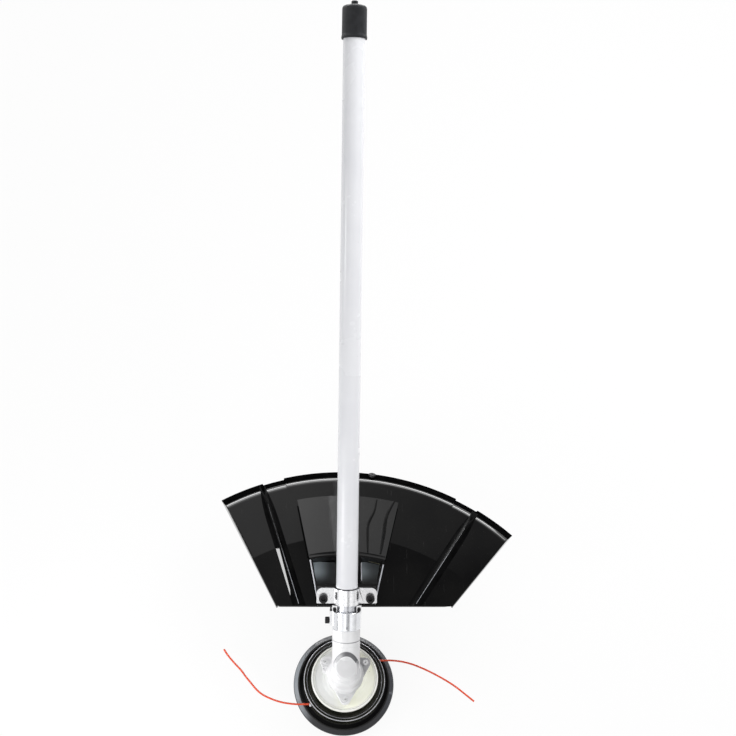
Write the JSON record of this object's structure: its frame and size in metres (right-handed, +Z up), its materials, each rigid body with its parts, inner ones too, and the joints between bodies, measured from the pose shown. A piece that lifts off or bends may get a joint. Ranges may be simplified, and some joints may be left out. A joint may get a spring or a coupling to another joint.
{
  "type": "string trimmer attachment",
  "caption": "Straight-shaft string trimmer attachment with bevel gear case, bump-feed line head, fan-shaped guard and capped drive tube.",
  "frame": {"origin": "centre of the bump knob's flat ground face, on the spin axis of the trimmer head", "axes": "+Z up along the spin axis, +Y backwards along the ground under the drive tube, +X to the right seen from the head end looking along +Y"},
  "size_m": [0.3728, 0.7562, 0.5073],
  "materials": {
    "white_powder_coat": "smooth semi-gloss powder coat",
    "cap_black_plastic": "satin moulded",
    "black_rubber": "matte",
    "ground_steel": "ground",
    "dark_spring_steel": "phosphated",
    "black_oxide_steel": "black oxide",
    "zinc_plated_steel": "bright zinc",
    "painted_casting": "die cast, collar polished bright",
    "bright_aluminium": "polished",
    "cream_painted_steel": "satin",
    "black_nylon": "moulded",
    "gloss_black_plastic": "gloss moulded",
    "slate_nylon": "fine moulded texture",
    "orange_line": "extruded nylon"
  },
  "bodies": {
    "frame": {"drive_tube": "white_powder_coat", "tube_bush_1": "black_rubber", "tube_bush_2": "black_rubber", "tube_bush_3": "black_rubber", "tube_bush_4": "black_rubber", "gearcase": "painted_casting", "locating_screw": "black_oxide_steel", "neck_screw_right": "black_oxide_steel", "neck_screw_left": "black_oxide_steel", "grease_plug": "black_oxide_steel", "flange_screw_1": "zinc_plated_steel", "flange_screw_2": "zinc_plated_steel", "flange_screw_3": "zinc_plated_steel", "dust_cover": "cream_painted_steel", "pinion_bearing_front": "ground_steel", "pinion_bearing_rear": "ground_steel", "output_bearing_lower": "ground_steel", "output_bearing_upper": "ground_steel", "pinion_circlip": "dark_spring_steel", "output_circlip": "dark_spring_steel", "output_seal": "black_rubber", "guard": "gloss_black_plastic", "guard_clamp": "bright_aluminium", "clamp_bolt_right": "black_oxide_steel", "clamp_bolt_left": "black_oxide_steel", "clamp_nut_right": "zinc_plated_steel", "clamp_nut_left": "zinc_plated_steel", "line_cutter": "zinc_plated_steel", "cutter_screw": "black_oxide_steel", "cutter_nut": "zinc_plated_steel"},
    "input_train": {"drive_shaft": "ground_steel", "pinion_gear": "ground_steel"},
    "trimmer_head": {"output_spindle": "ground_steel", "bevel_gear": "ground_steel", "gear_washer": "dark_spring_steel", "adapter_plate": "zinc_plated_steel", "head_housing": "black_nylon", "head_cover": "slate_nylon", "eyelet_right": "zinc_plated_steel", "eyelet_left": "zinc_plated_steel", "arbor_nut": "zinc_plated_steel", "spool_spring": "ground_steel", "trimmer_line_right": "orange_line", "trimmer_line_left": "orange_line"},
    "feed_knob": {"bump_knob": "black_nylon"},
    "line_spool": {"spool": "black_nylon", "wound_line": "orange_line"},
    "transport_cap": {"shaft_end_cap": "cap_black_plastic"}
  },
  "joints": [
    {"name": "head_spin", "type": "hinge", "parent": "frame", "child": "trimmer_head", "pos_m": [0, 0, 0], "axis": [0, 0, 1], "continuous": true},
    {"name": "shaft_spin", "type": "hinge", "parent": "frame", "child": "input_train", "pos_m": [0, 0, 0.1], "axis": [0, 0.866, 0.5], "continuous": true},
    {"name": "bump_feed", "type": "slide", "parent": "trimmer_head", "child": "feed_knob", "axis": [0, 0, 1], "range_m": [0, 0.005], "stiffness_N_per_m": 1500, "springref_m": -0.008, "deforming": ["spool_spring"]},
    {"name": "spool_turn", "type": "hinge", "parent": "feed_knob", "child": "line_spool", "pos_m": [0, 0, 0.0255], "axis": [0, 0, 1], "continuous": true},
    {"name": "cap_pull", "type": "slide", "parent": "frame", "child": "transport_cap", "axis": [0, 0.866, 0.5], "range_m": [0, 0.045]}
  ],
  "couplings": [
    {"joint": "shaft_spin", "follows": "head_spin", "ratio": 1.3333}
  ]
}
